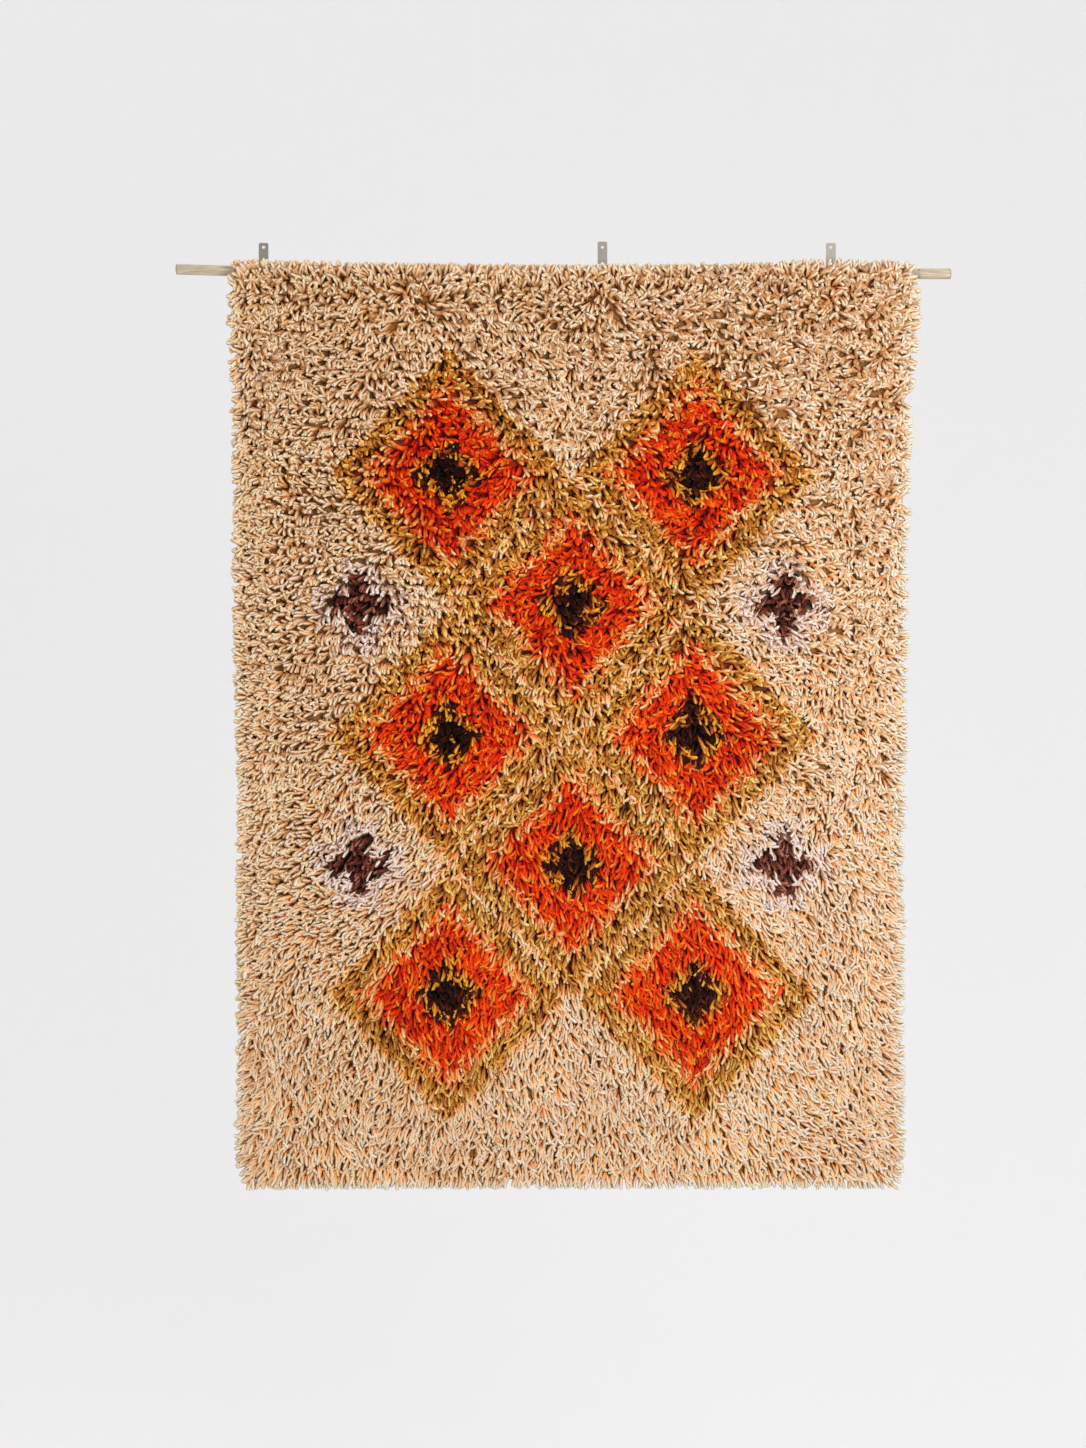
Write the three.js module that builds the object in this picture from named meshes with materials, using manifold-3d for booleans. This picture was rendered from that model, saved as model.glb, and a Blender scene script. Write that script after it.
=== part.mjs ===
// A shag wall hanging on a wooden rod, which lies in three hooks bent from flat steel strip.
//
// Millimetres. The flat backs of the hooks lie in the plane y = 0, the hanging faces -y,
// x runs to the right and z up.
// The origin is on the back of the middle strip, between its two screw holes.

import * as THREE from "three";
import { mergeVertices } from "three/addons/utils/BufferGeometryUtils.js";
import Module from "manifold-3d";

const wasm = await Module();
wasm.setup();

// Clearances
const SEAT_GAP = 0.3; // between pieces that rest on each other
const CLOTH_GAP = 2.3; // between the cloth and the steel that it hangs past

// The rod: a straight-grained stick that bows up a little towards its left end
const ROD_LEFT = -886;
const ROD_RIGHT = 723;
const ROD_RADIUS = 11;
const ROD_Y = -15;
const ROD_Z = -42;
const ROD_LIFT = 9.5; // how far the left end stands above the rest
const ROD_CHAMFER = 2.5;
const ROD_SIDES = 24;
const ROD_STEPS = 14;

// The steel strips, each bent into a hook under the rod
const STRIP_WIDTH = 20;
const STRIP_THICKNESS = 2;
const STRIP_CORNER = 3;
const SCREW_HOLE_DIAMETER = 6.4;
const SCREW_HOLES_Z = [16, -18];
const HOOK_INNER_RADIUS = 13;
const HOOK_LIP = 4; // how far the lip rises above the centre of the bend
const BRACKETS = [
  { name: "bracket_left", x: -706, top: 25 },
  { name: "bracket_middle", x: 0, top: 27.5 },
  { name: "bracket_right", x: 476, top: 25 },
];

// The ground cloth and its pile
const GROUND = 3;
const PILE = 25; // how far the pile stands out in front of the ground
const LUMP = 6; // how far the tufts rise and sink about that
const SWAY = 3.5; // how far the whole cloth swings off its plane as it hangs
const EDGE_ROUND = 30; // the width of the band over which the pile rounds off at an edge
const EDGE_PILE = 8; // what is left of the pile's depth at the very edge
const SHOULDER = 26; // the height over which the pile rounds off at the top
const CROWN_Y = -24; // where the top of the hanging is highest
const UNDERSIDE = { atEdge: 8, inside: 24 }; // the same at the bottom
const ARC_STEPS = 4; // steps in each of those roundings
const POCKET_TURN_Z = -64; // where the turned-over cloth starts to slope forward to its seam
const SEAM_TOP_Z = -100;
const SEAM_BOTTOM_Z = -114;
const SLIT_WIDTH = 30; // the pocket is slit at each hook
const SLIT_MARGIN = 4; // how far the slit runs on below the seam's top
const POCKET_FALL = 14; // how far below the rod's centre the pocket's front turns straight down

// The outer edges of the pile, as it hangs
const SIDE_EDGES = [
  { z: -14, left: -766, right: 640 },
  { z: -75, left: -780, right: 656 },
  { z: -195, left: -772, right: 648 },
  { z: -320, left: -766, right: 638 },
  { z: -630, left: -764, right: 630 },
  { z: -1125, left: -754, right: 621 },
  { z: -1550, left: -754, right: 616 },
  { z: -1875, left: -755, right: 620 },
  { z: -1937, left: -740, right: 606 },
];
const TOP_EDGE = [
  { x: -780, z: -15 },
  { x: -600, z: -20 },
  { x: -350, z: -26 },
  { x: -100, z: -28 },
  { x: 150, z: -27 },
  { x: 320, z: -22 },
  { x: 480, z: -14 },
  { x: 656, z: -21 },
];
const BOTTOM_Z = -1937;

// The locks that stand out round the rim
const RIM = 10; // how far the slab stops short of the outer edge
const TOP_RIM = 3;
const LOCK_WIDTH = 16;
const LOCK_BEND = 0.5; // where along a lock it bends
const LOCK_WAIST = 0.8; // how wide it still is there
const LOCK_ROOT = 10; // how deep a lock is rooted in the slab
const LOCK_LENGTH = { shortest: 14, longest: 20 };
const SIDE_LOCKS = 53;
const SIDE_LOCK_DEPTH = 9; // how far in front of the ground cloth they stand
const SIDE_LOCK_DROOP = 5;
const SIDE_LOCK_ENDS = { top: -62, bottom: -1892 };
const END_LOCKS = 40;
const BOTTOM_LOCK_DEPTH = 11;
const TOP_LOCK_DEPTH = 6;
const TOP_LOCK_LEAN = -0.45; // forward, for each unit of rise

// Where the steps of the slab lie
const EDGE_STEPS = [0, 9, 28];
const ACROSS_STEPS = 25;
const FRONT_STEPS = 35;
const BACK_ROWS_Z = [-115, -420, -760, -1100, -1440, -1760];
const POCKET_STEPS = 6;

const groundBack = ROD_Y - HOOK_INNER_RADIUS - STRIP_THICKNESS - CLOTH_GAP;
const groundFront = groundBack - GROUND;
const pocketRadius = ROD_RADIUS + SEAT_GAP;
const pocketBack = ROD_Y + pocketRadius;
const clothBack = pocketBack + GROUND;

const rodZ = (x) => ROD_Z + ROD_LIFT * Math.max(0, x / ROD_LEFT) ** 3;
const mix = THREE.MathUtils.lerp;
const vector = (x, y, z) => new THREE.Vector3(x, y, z);

// A column of a table, read between its rows
function along(table, key, at, column) {
  const sign = Math.sign(table[1][key] - table[0][key]);
  const next = table.findIndex((row) => sign * row[key] > sign * at);
  if (next === 0) return table[0][column];
  if (next < 0) return table[table.length - 1][column];
  const [before, after] = [table[next - 1], table[next]];
  return mix(before[column], after[column], (at - before[key]) / (after[key] - before[key]));
}

// A number from 0 to 1 that depends on two counters, the same in each run
function scatter(index, salt) {
  const wave = Math.sin(index * 127.1 + salt * 311.7) * 43758.5453;
  return wave - Math.floor(wave);
}

// Solids from rings, and back to geometry
function solidFrom(geometry) {
  const bare = geometry.index ? geometry.toNonIndexed() : geometry.clone();
  bare.deleteAttribute("normal");
  bare.deleteAttribute("uv");
  const merged = mergeVertices(bare, 1e-4);
  const vertProperties = merged.attributes.position.array;
  const triVerts = new Uint32Array(merged.index.array);
  return new wasm.Manifold(new wasm.Mesh({ numProp: 3, vertProperties, triVerts }));
}

function geometryFrom(solid) {
  const { vertProperties, triVerts } = solid.getMesh();
  const geometry = new THREE.BufferGeometry();
  geometry.setAttribute("position", new THREE.BufferAttribute(vertProperties, 3));
  geometry.setIndex(new THREE.BufferAttribute(triVerts, 1));
  geometry.computeVertexNormals();
  return geometry;
}

// The faces that close a ring; facing is 1 towards +x and -1 towards -x
function capFaces(ring, first, facing) {
  const flat = ring.map((p) => new THREE.Vector2(p.y, p.z));
  return THREE.ShapeUtils.triangulateShape(flat, []).flatMap(([a, b, c]) => {
    const area = THREE.ShapeUtils.area([flat[a], flat[b], flat[c]]);
    return (area * facing > 0 ? [a, b, c] : [a, c, b]).map((k) => first + k);
  });
}

// A closed body through rings of points. The rings follow +x, and each goes clockwise seen from there.
function loft(rings) {
  const count = rings[0].length;
  const last = rings.length - 1;
  const index = [...capFaces(rings[0], 0, -1), ...capFaces(rings[last], last * count, 1)];
  for (let r = 0; r < last; r += 1) {
    for (let k = 0; k < count; k += 1) {
      const a = r * count + k;
      const b = r * count + ((k + 1) % count);
      index.push(a, a + count, b, b, a + count, b + count);
    }
  }
  const geometry = new THREE.BufferGeometry().setFromPoints(rings.flat());
  geometry.setIndex(index);
  return geometry;
}

// The rod
function makeRod() {
  const rings = [];
  const addRing = (x, radius) => {
    const ring = [];
    for (let k = 0; k < ROD_SIDES; k += 1) {
      const angle = (-2 * Math.PI * k) / ROD_SIDES;
      ring.push(vector(x, ROD_Y + radius * Math.cos(angle), rodZ(x) + radius * Math.sin(angle)));
    }
    rings.push(ring);
  };
  const endRadius = ROD_RADIUS - ROD_CHAMFER;
  addRing(ROD_LEFT, endRadius);
  for (let k = 0; k <= ROD_STEPS; k += 1) {
    addRing(mix(ROD_LEFT + ROD_CHAMFER, ROD_RIGHT - ROD_CHAMFER, k / ROD_STEPS), ROD_RADIUS);
  }
  addRing(ROD_RIGHT, endRadius);
  return loft(rings);
}

// A strip seen from the side: straight down at the back, round under the rod and up in front of it
function hookProfile(top, bendZ) {
  const outer = HOOK_INNER_RADIUS + STRIP_THICKNESS;
  const lipTop = bendZ + HOOK_LIP;
  const profile = new THREE.Shape();
  profile.moveTo(0, top);
  profile.lineTo(-STRIP_THICKNESS, top);
  profile.lineTo(-STRIP_THICKNESS, bendZ);
  profile.absarc(ROD_Y, bendZ, HOOK_INNER_RADIUS, 0, -Math.PI, true);
  profile.lineTo(ROD_Y - HOOK_INNER_RADIUS, lipTop);
  profile.lineTo(ROD_Y - outer, lipTop);
  profile.lineTo(ROD_Y - outer, bendZ);
  profile.absarc(ROD_Y, bendZ, outer, -Math.PI, 0, false);
  profile.closePath();
  return profile;
}

// The same strip seen from the front, with round corners at its top and its two screw holes
function stripOutline(top, bottom) {
  const side = STRIP_WIDTH / 2;
  const corner = STRIP_CORNER;
  const outline = new THREE.Shape();
  outline.moveTo(-side, bottom);
  outline.lineTo(side, bottom);
  outline.absarc(side - corner, top - corner, corner, 0, Math.PI / 2, false);
  outline.absarc(corner - side, top - corner, corner, Math.PI / 2, Math.PI, false);
  outline.closePath();
  for (const z of SCREW_HOLES_Z) {
    outline.holes.push(new THREE.Path().absarc(0, z, SCREW_HOLE_DIAMETER / 2, 0, 2 * Math.PI, true));
  }
  return outline;
}

function makeBracket({ x, top }) {
  const bendZ = rodZ(x) - ROD_RADIUS - SEAT_GAP + HOOK_INNER_RADIUS;
  const outer = HOOK_INNER_RADIUS + STRIP_THICKNESS;
  const past = 5; // how far the outline runs past the bend all round, before the two are cut to fit
  const [X, Y, Z] = [vector(1, 0, 0), vector(0, 1, 0), vector(0, 0, 1)];
  const bend = new THREE.ExtrudeGeometry(hookProfile(top, bendZ), {
    depth: STRIP_WIDTH,
    bevelEnabled: false,
    curveSegments: 14,
  });
  bend.translate(0, 0, -STRIP_WIDTH / 2);
  bend.applyMatrix4(new THREE.Matrix4().makeBasis(Y, Z, X));
  const front = new THREE.ExtrudeGeometry(stripOutline(top, bendZ - outer - past), {
    depth: 2 * (outer + past),
    bevelEnabled: false,
    curveSegments: 8,
  });
  front.applyMatrix4(new THREE.Matrix4().makeBasis(X, Z, Y.clone().negate()));
  front.translate(0, past, 0);
  const bracket = geometryFrom(solidFrom(bend).intersect(solidFrom(front)));
  return bracket.translate(x, 0, 0);
}

// The pile
const leftEdge = (z) => along(SIDE_EDGES, "z", z, "left");
const rightEdge = (z) => along(SIDE_EDGES, "z", z, "right");
const topEdge = (x) => along(TOP_EDGE, "x", x, "z");
const slabTop = (x) => Math.max(topEdge(x) - TOP_RIM, rodZ(x) + pocketRadius + GROUND);

// How proud the tufts stand, from -1 to 1: broad swells, and each tuft's own chance
function lump(x, z) {
  const swell = Math.sin(x / 37 + 1.7 * Math.sin(z / 61)) * Math.sin(z / 43 + 1.3 * Math.sin(x / 73));
  const tuft = 2 * scatter(Math.round(x / 20), Math.round(z / 20)) - 1;
  return 0.2 * swell + 0.8 * tuft;
}

function sway(x, z) {
  const free = THREE.MathUtils.smoothstep(-z, 150, 700);
  return SWAY * free * Math.sin(x / 210 + z / 900) * Math.cos(z / 520);
}

const roundOff = (inset) => Math.sqrt(1 - (1 - Math.min(inset / EDGE_ROUND, 1)) ** 2);

// One step of the slab: a ring up the front, over the rod, down the back and under.
// across takes a height and gives the step's x there.
function slabRing(across, inset) {
  const fullness = roundOff(inset);
  const depth = mix(EDGE_PILE, PILE, fullness);
  const unevenness = LUMP * mix(0.2, 1, fullness);
  const front = (z) => groundFront - depth - unevenness * lump(across(z), z);
  const x = across(ROD_Z);
  const top = slabTop(x);
  const bottom = BOTTOM_Z + RIM + 3 * fullness * lump(x, 0);
  const ring = [];
  const add = (y, z) => ring.push(vector(across(z), y + sway(across(z), z), z));

  const frontBottom = bottom + mix(UNDERSIDE.atEdge, UNDERSIDE.inside, fullness);
  for (let k = 0; k <= ARC_STEPS; k += 1) {
    const angle = (Math.PI * k) / ARC_STEPS;
    const share = (1 - Math.cos(angle)) / 2;
    add(mix(groundBack, front(frontBottom), share), mix(frontBottom, bottom, Math.sin(angle)));
  }
  const frontTop = top - SHOULDER;
  for (let k = 1; k < FRONT_STEPS; k += 1) {
    const z = mix(frontBottom, frontTop, k / FRONT_STEPS);
    add(front(z), z);
  }
  for (let k = 0; k <= ARC_STEPS; k += 1) {
    const angle = ((Math.PI / 2) * k) / ARC_STEPS;
    add(mix(CROWN_Y, front(frontTop), Math.cos(angle)), mix(frontTop, top, Math.sin(angle)));
  }
  for (let k = 1; k <= ARC_STEPS; k += 1) {
    const angle = ((Math.PI / 2) * k) / ARC_STEPS;
    add(mix(CROWN_Y, clothBack, Math.sin(angle)), mix(rodZ(x), top, Math.cos(angle)));
  }

  add(clothBack, POCKET_TURN_Z);
  add(groundBack + GROUND, SEAM_TOP_Z);
  add(groundBack + GROUND, SEAM_BOTTOM_Z);
  for (const z of BACK_ROWS_Z) {
    add(groundBack, z);
  }
  return ring;
}

function makeSlab() {
  const left = (inset) => (z) => leftEdge(z) + RIM + inset;
  const right = (inset) => (z) => rightEdge(z) - RIM - inset;
  const innermost = EDGE_STEPS[EDGE_STEPS.length - 1];
  const rings = EDGE_STEPS.map((inset) => slabRing(left(inset), inset));
  for (let k = 1; k < ACROSS_STEPS; k += 1) {
    const across = (z) => mix(left(innermost)(z), right(innermost)(z), k / ACROSS_STEPS);
    rings.push(slabRing(across, EDGE_ROUND));
  }
  for (const inset of [...EDGE_STEPS].reverse()) {
    rings.push(slabRing(right(inset), inset));
  }
  return solidFrom(loft(rings));
}

// A tapered lock of three sides, rooted in the slab, that bends once on its way to the tip
function makeLock(root, out, droop, length, turn) {
  const side = new THREE.Vector3().crossVectors(out, vector(0, 1, 0)).normalize();
  const up = new THREE.Vector3().crossVectors(out, side).normalize();
  const ringAt = (centre, width) =>
    [0, 1, 2].map((k) => {
      const angle = turn + (2 * Math.PI * k) / 3;
      return centre
        .clone()
        .addScaledVector(side, (width / 2) * Math.cos(angle))
        .addScaledVector(up, (width / 2) * Math.sin(angle));
    });
  const start = root.clone().addScaledVector(out, -LOCK_ROOT);
  const middle = root.clone().addScaledVector(out, LOCK_BEND * length);
  const tip = root.clone().addScaledVector(out, length).add(droop);
  const waist = LOCK_WAIST * LOCK_WIDTH;
  const points = [...ringAt(start, LOCK_WIDTH), ...ringAt(middle, waist), tip];
  const faces = [0, 2, 1];
  for (let k = 0; k < 3; k += 1) {
    const next = (k + 1) % 3;
    faces.push(k, next, k + 3, next, next + 3, k + 3, k + 3, next + 3, 6);
  }
  const geometry = new THREE.BufferGeometry().setFromPoints(points);
  geometry.setIndex(faces);
  return solidFrom(geometry);
}

function makeLocks() {
  const locks = [];
  const spread = (index, salt, reach) => reach * (2 * scatter(index, salt) - 1);
  const add = (index, root, out, fall) => {
    const length = mix(LOCK_LENGTH.shortest, LOCK_LENGTH.longest, scatter(index, 4));
    const turn = 2 * Math.PI * scatter(index, 5);
    locks.push(makeLock(root, out.normalize(), vector(0, 0, -fall), length, turn));
  };
  for (let k = 0; k < 2 * SIDE_LOCKS; k += 1) {
    const hand = k % 2 ? 1 : -1;
    const share = Math.floor(k / 2) / (SIDE_LOCKS - 1);
    const z = mix(SIDE_LOCK_ENDS.top, SIDE_LOCK_ENDS.bottom, share);
    const edge = hand < 0 ? leftEdge(z) + RIM : rightEdge(z) - RIM;
    const root = vector(edge - 2 * hand, groundFront - SIDE_LOCK_DEPTH + spread(k, 1, 3), z);
    add(k, root, vector(hand, spread(k, 2, 0.25) - 0.1, spread(k, 3, 0.3) - 0.15), SIDE_LOCK_DROOP);
  }
  for (let k = 0; k < END_LOCKS; k += 1) {
    const share = (k + 0.5) / END_LOCKS;
    const below = mix(leftEdge(BOTTOM_Z) + 8, rightEdge(BOTTOM_Z) - 8, share);
    const lowY = groundFront - BOTTOM_LOCK_DEPTH + spread(k, 21, 5);
    const down = vector(spread(k, 22, 0.3), spread(k, 23, 0.2), -1);
    add(k + 200, vector(below, lowY, BOTTOM_Z + RIM + 4), down, 0);
    const above = mix(leftEdge(0) + 16, rightEdge(0) - 16, share);
    const highY = groundFront - TOP_LOCK_DEPTH + spread(k, 31, 3);
    const up = vector(spread(k, 32, 0.3), TOP_LOCK_LEAN, 1);
    add(k + 300, vector(above, highY, slabTop(above) - 7), up, 0);
  }
  return locks;
}

// The space inside the pocket, which the rod lies in
function makeTunnel() {
  const slope = vector(0, groundBack + GROUND - clothBack, SEAM_TOP_Z - POCKET_TURN_Z);
  const inward = vector(0, slope.z, -slope.y).normalize().multiplyScalar(GROUND);
  const fall = slope.z / slope.y;
  const innerZ = (y) => POCKET_TURN_Z + inward.z + fall * (y - clothBack - inward.y);
  const ringAt = (x) => {
    const z = rodZ(x);
    const bend = z - POCKET_FALL;
    const ring = [vector(x, groundBack, innerZ(groundBack)), vector(x, groundBack, bend)];
    for (let k = 1; k <= POCKET_STEPS; k += 1) {
      const angle = ((Math.PI / 2) * k) / POCKET_STEPS;
      const y = mix(ROD_Y, groundBack, Math.cos(angle));
      ring.push(vector(x, y, mix(bend, z + pocketRadius, Math.sin(angle))));
    }
    for (let k = 1; k <= POCKET_STEPS; k += 1) {
      const angle = ((Math.PI / 2) * k) / POCKET_STEPS;
      const y = ROD_Y + pocketRadius * Math.sin(angle);
      ring.push(vector(x, y, z + pocketRadius * Math.cos(angle)));
    }
    ring.push(vector(x, pocketBack, innerZ(pocketBack)));
    return ring;
  };
  const rings = [];
  for (let k = 0; k <= ROD_STEPS; k += 1) {
    rings.push(ringAt(mix(ROD_LEFT, ROD_RIGHT, k / ROD_STEPS)));
  }
  return solidFrom(loft(rings));
}

// A slit through the pocket, which a hook passes through
function makeSlit(x) {
  const [back, bottom, top] = [5, SEAM_TOP_Z - SLIT_MARGIN, 30];
  const slit = new THREE.BoxGeometry(SLIT_WIDTH, back - groundBack, top - bottom);
  return solidFrom(slit.translate(x, (back + groundBack) / 2, (top + bottom) / 2));
}

function makeRug() {
  let rug = makeSlab();
  for (const lock of makeLocks()) {
    rug = rug.add(lock);
  }
  rug = rug.subtract(makeTunnel());
  for (const { x } of BRACKETS) {
    rug = rug.subtract(makeSlit(x));
  }
  return geometryFrom(rug);
}

// Materials
const wool = new THREE.MeshStandardMaterial({ color: 0xbd9467, roughness: 0.95, metalness: 0 });
const wood = new THREE.MeshStandardMaterial({ color: 0xbcac95, roughness: 0.75, metalness: 0 });
const steel = new THREE.MeshStandardMaterial({ color: 0xa2988b, roughness: 0.4, metalness: 0.9 });

const hanging = new THREE.Group();
function place(name, geometry, material) {
  const mesh = new THREE.Mesh(geometry, material.clone());
  mesh.name = name;
  hanging.add(mesh);
}

place("rug", makeRug(), wool);
place("rod", makeRod(), wood);
for (const bracket of BRACKETS) {
  place(bracket.name, makeBracket(bracket), steel);
}

export default hanging;
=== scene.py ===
# A shag wall hanging on a wooden rod, which lies in three hooks bent from flat steel strip.
#
# Metres. The flat backs of the hooks lie in the plane y = 0, the hanging faces -y,
# x runs to the right and z up.
# The origin is on the back of the middle strip, between its two screw holes.

import math

import bpy
import numpy as np
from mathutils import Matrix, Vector

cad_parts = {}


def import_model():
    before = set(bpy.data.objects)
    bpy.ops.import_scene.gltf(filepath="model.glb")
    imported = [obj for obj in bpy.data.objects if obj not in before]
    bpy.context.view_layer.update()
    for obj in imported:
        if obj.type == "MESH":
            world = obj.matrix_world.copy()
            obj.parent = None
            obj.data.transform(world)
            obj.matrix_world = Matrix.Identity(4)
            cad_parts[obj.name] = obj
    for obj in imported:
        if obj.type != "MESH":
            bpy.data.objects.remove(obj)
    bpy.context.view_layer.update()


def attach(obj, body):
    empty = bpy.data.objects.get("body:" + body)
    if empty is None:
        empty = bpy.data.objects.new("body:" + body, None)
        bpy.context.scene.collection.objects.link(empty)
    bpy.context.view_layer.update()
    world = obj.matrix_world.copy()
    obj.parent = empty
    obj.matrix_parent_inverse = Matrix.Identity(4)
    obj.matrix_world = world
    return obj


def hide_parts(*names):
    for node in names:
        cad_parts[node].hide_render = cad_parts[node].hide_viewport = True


MM = 0.001
SEED = 20  # each group of pieces adds its own number

# Clearances
SEAT_GAP = 0.3 * MM
CLOTH_GAP = 2.3 * MM

# The rod
ROD_LEFT = -886 * MM
ROD_RIGHT = 723 * MM
ROD_RADIUS = 11 * MM
ROD_Y = -15 * MM
ROD_Z = -42 * MM
ROD_LIFT = 9.5 * MM
ROD_CHAMFER = 2.5 * MM
ROD_SIDES = 40
ROD_STEPS = 90
ROD_CHAMFER_STEPS = 5
ROD_UNEVEN = 0.2 * MM  # half the depth of the surface's waves
ROD_WAVES = [(1.0, 3, 5), (1.0, 2, -11), (0.8, 0, 23), (0.5, 0, 61)]  # strength, waves round, waves along
ROD_DARK_ENDS = (3.5 * MM, 0.5 * MM)  # from each end: where the darkening starts, and where it is full

# The steel strips
STRIP_WIDTH = 20 * MM
STRIP_THICKNESS = 2 * MM
STRIP_CORNER = 3 * MM
STRIP_CORNER_DROPS = np.array([0.0, 0.4, 1.0, 1.8, 3.0]) * MM  # below the top: points of the corners
STRIP_EVEN_DROP = 5 * MM  # below the top: where even steps start
STRIP_STEPS = 18
STRIP_EDGE = 0.35 * MM
STRIP_CREASE = 35.0  # degrees between two faces, past which the edge is sharp
SCREW_HOLE_DIAMETER = 6.4 * MM
SCREW_HOLES_Z = [16 * MM, -18 * MM]
SCREW_HOLE_SIDES = 40
HOOK_INNER_RADIUS = 13 * MM
HOOK_STEPS = 32
HOOK_LIP = 4 * MM
HOOK_LIP_STEPS = 3
BRACKETS = [
    {"name": "bracket_left", "x": -706 * MM, "top": 25 * MM},
    {"name": "bracket_middle", "x": 0.0, "top": 27.5 * MM},
    {"name": "bracket_right", "x": 476 * MM, "top": 25 * MM},
]

# The ground cloth, turned over the rod and sewn down behind it
GROUND = 3 * MM
GROUND_INSET = 17 * MM
GROUND_BOTTOM = -1919 * MM
GROUND_STRAIGHT_Z = -75 * MM  # above it the side edges run straight up
SWAY = 3.5 * MM
SWAY_FREE = (0.15, 0.70)  # how far down the cloth starts to sway, and where it does so fully
SWAY_ACROSS = 0.210  # metres a radian of the sway's waves
SWAY_SLANT = 0.900
SWAY_UP = 0.520
POCKET_FALL = 14 * MM
POCKET_TURN_Z = -64 * MM
SEAM_TOP_Z = -100 * MM
SEAM_BOTTOM_Z = -114 * MM
SEAM_PLAY = 0.2 * MM
THREADS = [("X", 2.6 * MM), ("Z", 3.2 * MM)]  # which way the threads follow each other, and their pitch
SLIT_WIDTH = 30 * MM
SLIT_BOTTOM_Z = -104 * MM
GROUND_FRONT_STEPS = 96
GROUND_COLUMNS = 56
COLUMNS_APART = 0.004  # the least share of the width between a slit's column and the next
ARC_STEPS = 7
ARC_SHARE = 0.98  # how far up over the rod the pile follows the front

# The backs of the knots and the stitches of the seam
DASH_RIDGE = 0.7  # how much of a dash's length its ridge has
BACKS_GAP = 4 * MM  # below the seam
BACKS_HALF_WIDTH = (4.6, 5.8)  # millimetres
BACKS_HALF_HEIGHT = (2.2, 2.8)  # millimetres
BACKS_RISE = 1.1 * MM
BACKS_LINEN = 0.18  # how much the colours are dulled towards linen
BACKS_SHADE = (0.85, 0.08)  # mean and spread
BACKS_TILT = 0.05  # radians
STITCH_Z = SEAM_BOTTOM_Z + 1 * MM
STITCH_SPAN_Z = -0.11  # where the width of their row is taken
STITCH_PITCH = 11 * MM
STITCH_INSET = 24 * MM
STITCH_GAP = 4 * MM  # beside a slit
STITCH_STRAY = 0.6  # millimetres
STITCH_HALF_WIDTH = 0.9 * MM
STITCH_HALF_HEIGHT = 4.2 * MM
STITCH_RISE = 0.9 * MM
STITCH_SHADES = 0.05
STITCH_TILT = -0.45  # radians

# The outer edges of the pile, as it hangs, from the top down and from the left
SIDE_EDGES = np.array([
    # z, left, right
    (-14, -766, 640),
    (-75, -780, 656),
    (-195, -772, 648),
    (-320, -766, 638),
    (-630, -764, 630),
    (-1125, -754, 621),
    (-1550, -754, 616),
    (-1875, -755, 620),
    (-1937, -740, 606),
]) * MM
TOP_EDGE = np.array([
    # x, z
    (-780, -15),
    (-600, -20),
    (-350, -26),
    (-100, -28),
    (150, -27),
    (320, -22),
    (480, -14),
    (656, -21),
]) * MM

# The pile, which is knotted in rows, four ends of yarn to a knot
ROW_PITCH = 20 * MM
FIRST_ROW_Z = -42 * MM
ROWS = 94
KNOTS_IN_ROW = 100
KNOT_INSET = 18 * MM
KNOT_STRAY = 1.5 * MM
CROWDED_ROWS = ([0, 5, 93], [0, 4, 93])  # the rows lie closer at the top
CROWDED_KNOTS = ([0, 0.08, 0.92, 1], [0, 0.054, 0.946, 1])  # the knots lie closer beside the side edges
ENDS = 4
END_SPREAD = (4.8 * MM, 2.4 * MM)  # across and up
LOW_SPREAD = 7.5 * MM  # up, lower down, where the rows are harder to tell
LOW_SPREAD_SPAN = (0.8, 1.6)  # how far down that starts, and where it is full
EDGE_MIX = 10 * MM  # how far the ends stray up and down beside the edges
EDGE_MIX_SPAN = (0.024, 0.050)  # from a side edge: where they do so fully, and where not at all
BANDS = 6
YARN_SIDES = 3
YARN_PLIES = 3
YARN_TWIST = 1.7  # turns of the plies along an end
YARN_RINGS = np.array([0.0, 0.36, 0.70, 0.93])  # how far along an end of yarn each ring is
YARN_RADII = np.array([3.2, 4.3, 4.5, 3.6]) * MM
YARN_SHADED_FLANKS = np.array([0.0, 1.0, 1.0])  # which of the points of a ring face in, where painted shade falls
YARN_STEPS = 12  # steps of the curve that an end follows
YARN_FREE_STEP = 2  # the step after which an end keeps off the ground
ROOT_DEPTH = 1.5 * MM  # how deep in the ground an end starts
ROOT_LEAN = (6, 24)  # degrees, of an end that stands and one that lies
TIP_LEAN = (38, 104)  # degrees
LEAN_POWER = 0.8  # below 1 an end bends more near its root
CURL_MIDDLE = 0.2  # how far along an end it heads its own way
THICKNESS = (0.10, 0.75, 1.3)  # spread, least and most

# How the ends lie, where a span says how far from an edge something is full, and where it stops
DOWNWARD = -90  # degrees
LEFT_TURN = -50  # at the left middle
RIGHT_TURN = 30  # at the lower right
WHIRLS = [(85, 0.095, 1), (45, 0.032, 2)]  # degrees, size and seed of the noise that turns the ends
CALM = (1.0, 0.30)  # how much of that is left at the top, and lower down
CORNER_WHIRL = 0.5  # what is added at the upper right
SIDE_STRAY = 0.010
SIDE_SPAN = (0.022, 0.080)
SIDE_PULL = 1.3
BOTTOM_SPAN = (0.02, 0.09)
BOTTOM_PULL = 1.2
TOP_SPAN = (0.022, 0.104)
TOP_PULL = 2.2
CORNER_SPAN = (0.020, 0.045)
CORNER_HANG = 0.5  # how many ends fewer rise beside the top corners
PARTING = 0.056  # from the top edge: where rising and hanging ends part, and stand up
PARTING_SPAN = (0.015, 0.035)
PARTING_FLATNESS = 0.55
STRAY = (30, 16)  # degrees, at the top and lower down
EDGE_SPAN = (0.02, 0.06)
EDGE_FLATNESS = 0.66
EDGE_CURL = 0.4
CURL = (75, 48)  # degrees, at the top and lower down
CORNER_CURL = 50  # what is added at the upper right
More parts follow.
